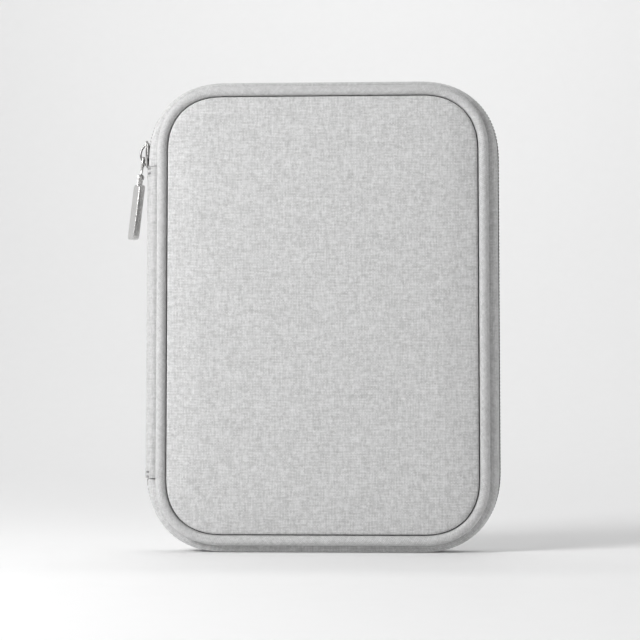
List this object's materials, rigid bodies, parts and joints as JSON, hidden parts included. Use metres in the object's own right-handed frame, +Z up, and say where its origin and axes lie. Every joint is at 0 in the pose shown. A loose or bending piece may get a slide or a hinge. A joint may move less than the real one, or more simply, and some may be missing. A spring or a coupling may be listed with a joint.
{
  "type": "tablet case",
  "caption": "Zip-round padded fabric tablet case in two halves on a fabric spine, with corner straps, a mesh pocket and a metal zip puller.",
  "frame": {"origin": "middle of the surface it stands on: halfway across the zip's width, on the zip's mid-plane, at the height of the underside", "axes": "+X to the right seen from the front, +Y from the front cover to the back cover, +Z up along the case's height; the spine is on the -X side"},
  "size_m": [0.2169, 0.034, 0.2718],
  "materials": {
    "outer_fabric": "light grey heathered polyester weave",
    "piping_fabric": "light grey heathered weave round a cord",
    "lining_fabric": "smooth dark grey lining",
    "foam": "soft white foam",
    "stiff_board": "dark grey pressed foam board",
    "elastic": "ribbed dark grey elastic",
    "mesh": "dark grey knitted mesh",
    "zip_tape": "grey woven zip tape",
    "zip_teeth": "dark grey moulded teeth",
    "puller_metal": "satin nickel plate",
    "slider_metal": "bright nickel plate"
  },
  "bodies": {
    "back_half": {"back_cover": "outer_fabric", "back_padding": "foam", "back_board": "stiff_board", "back_lining": "lining_fabric", "back_binding": "lining_fabric", "back_piping": "piping_fabric", "back_piping_cord": "foam", "back_gusset": "outer_fabric", "back_zip_tape": "zip_tape", "back_zip_teeth": "zip_teeth", "strap_top_left": "elastic", "strap_top_right": "elastic", "strap_bottom_left": "elastic", "strap_bottom_right": "elastic"},
    "spine": {"spine_cover": "outer_fabric", "spine_stiffener": "stiff_board", "spine_lining": "lining_fabric", "zip_end_stop": "puller_metal"},
    "front_half": {"front_cover": "outer_fabric", "front_padding": "foam", "front_board": "stiff_board", "front_lining": "lining_fabric", "front_binding": "lining_fabric", "front_piping": "piping_fabric", "front_piping_cord": "foam", "front_gusset": "outer_fabric", "front_zip_tape": "zip_tape", "front_zip_teeth": "zip_teeth", "mesh_pocket": "mesh", "mesh_pocket_elastic": "elastic"},
    "slider": {"slider_body": "slider_metal", "slider_bridge": "slider_metal"},
    "pull_link": {"pull_link": "puller_metal"},
    "pull_tab": {"pull_tab": "puller_metal"}
  },
  "joints": [
    {"name": "spine_fold", "type": "hinge", "parent": "back_half", "child": "spine", "pos_m": [-0.1023, 0.011, 0.132], "axis": [0, 0, -1], "range_deg": [0, 90]},
    {"name": "front_fold", "type": "hinge", "parent": "spine", "child": "front_half", "pos_m": [-0.1023, -0.011, 0.132], "axis": [0, 0, -1], "range_deg": [0, 90]},
    {"name": "zip_run", "type": "hinge", "parent": "spine", "child": "slider", "pos_m": [-0.0602, 0, 0.23], "axis": [0, -1, 0], "range_deg": [-90, 0]},
    {"name": "link_swing", "type": "hinge", "parent": "slider", "child": "pull_link", "pos_m": [-0.10495, 0, 0.2286], "axis": [0, 1, 0], "range_deg": [0, 110]},
    {"name": "tab_swing", "type": "hinge", "parent": "pull_link", "child": "pull_tab", "pos_m": [-0.10695, 0, 0.217], "axis": [0, 1, 0], "range_deg": [-4, 60]}
  ],
  "couplings": [
    {"joint": "spine_fold", "follows": "front_fold", "ratio": 1}
  ]
}
